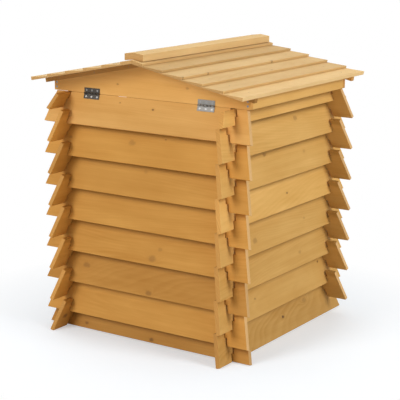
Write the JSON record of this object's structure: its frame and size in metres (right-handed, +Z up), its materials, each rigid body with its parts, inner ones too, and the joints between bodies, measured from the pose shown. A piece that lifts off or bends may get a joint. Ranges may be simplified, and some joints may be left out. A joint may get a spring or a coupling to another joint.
{
  "type": "compost bin",
  "caption": "Square wooden compost bin: leaning board walls that cross and interlock at the corners, under a hinged pitched lid of lapped boards with a ridge cap.",
  "frame": {"origin": "centre of the footprint, on the ground", "axes": "+Z up; +Y to the front, away from the hinges, which are on the rear at -Y; +X to the right as seen from the rear"},
  "size_m": [0.7552, 0.75, 0.8892],
  "materials": {
    "wall_wood": "planed softwood with a golden-brown preservative, matt",
    "lid_frame_wood": "planed softwood with a golden-brown preservative, matt",
    "roof_wood": "planed softwood, paler than the walls, matt",
    "hinge_zinc": "pressed steel, dull zinc plating",
    "bright_zinc": "bright zinc-plated steel"
  },
  "bodies": {
    "bin": {"rear_board_1": "wall_wood", "rear_board_2": "wall_wood", "rear_board_3": "wall_wood", "rear_board_4": "wall_wood", "rear_board_5": "wall_wood", "rear_board_6": "wall_wood", "rear_board_7": "wall_wood", "rear_board_8": "wall_wood", "left_board_1": "wall_wood", "left_board_2": "wall_wood", "left_board_3": "wall_wood", "left_board_4": "wall_wood", "left_board_5": "wall_wood", "left_board_6": "wall_wood", "left_board_7": "wall_wood", "left_board_8": "wall_wood", "right_board_1": "wall_wood", "right_board_2": "wall_wood", "right_board_3": "wall_wood", "right_board_4": "wall_wood", "right_board_5": "wall_wood", "right_board_6": "wall_wood", "right_board_7": "wall_wood", "right_board_8": "wall_wood", "front_board_1": "wall_wood", "front_board_2": "wall_wood", "front_board_3": "wall_wood", "front_board_4": "wall_wood", "front_board_5": "wall_wood", "front_board_6": "wall_wood", "front_board_7": "wall_wood", "left_hinge_wall_leaf": "hinge_zinc", "right_hinge_wall_leaf": "hinge_zinc", "hinge_pins": "bright_zinc", "hinge_wall_screws": "bright_zinc"},
    "lid": {"rear_gable": "lid_frame_wood", "front_gable": "lid_frame_wood", "left_rail": "lid_frame_wood", "right_rail": "lid_frame_wood", "rear_battens": "lid_frame_wood", "front_battens": "lid_frame_wood", "left_roof_board_1": "roof_wood", "left_roof_board_2": "roof_wood", "left_roof_board_3": "roof_wood", "left_roof_board_4": "roof_wood", "left_roof_board_5": "roof_wood", "left_roof_board_6": "roof_wood", "right_roof_board_1": "roof_wood", "right_roof_board_2": "roof_wood", "right_roof_board_3": "roof_wood", "right_roof_board_4": "roof_wood", "right_roof_board_5": "roof_wood", "right_roof_board_6": "roof_wood", "ridge_cap": "roof_wood", "left_hinge_lid_leaf": "hinge_zinc", "right_hinge_lid_leaf": "hinge_zinc", "hinge_lid_screws": "bright_zinc", "gable_screws": "bright_zinc", "lid_nails": "bright_zinc"}
  },
  "joints": [
    {"name": "lid_hinge", "type": "hinge", "parent": "bin", "child": "lid", "pos_m": [0, -0.28896, 0.74579], "axis": [1, 0, 0], "range_deg": [0, 57]}
  ]
}
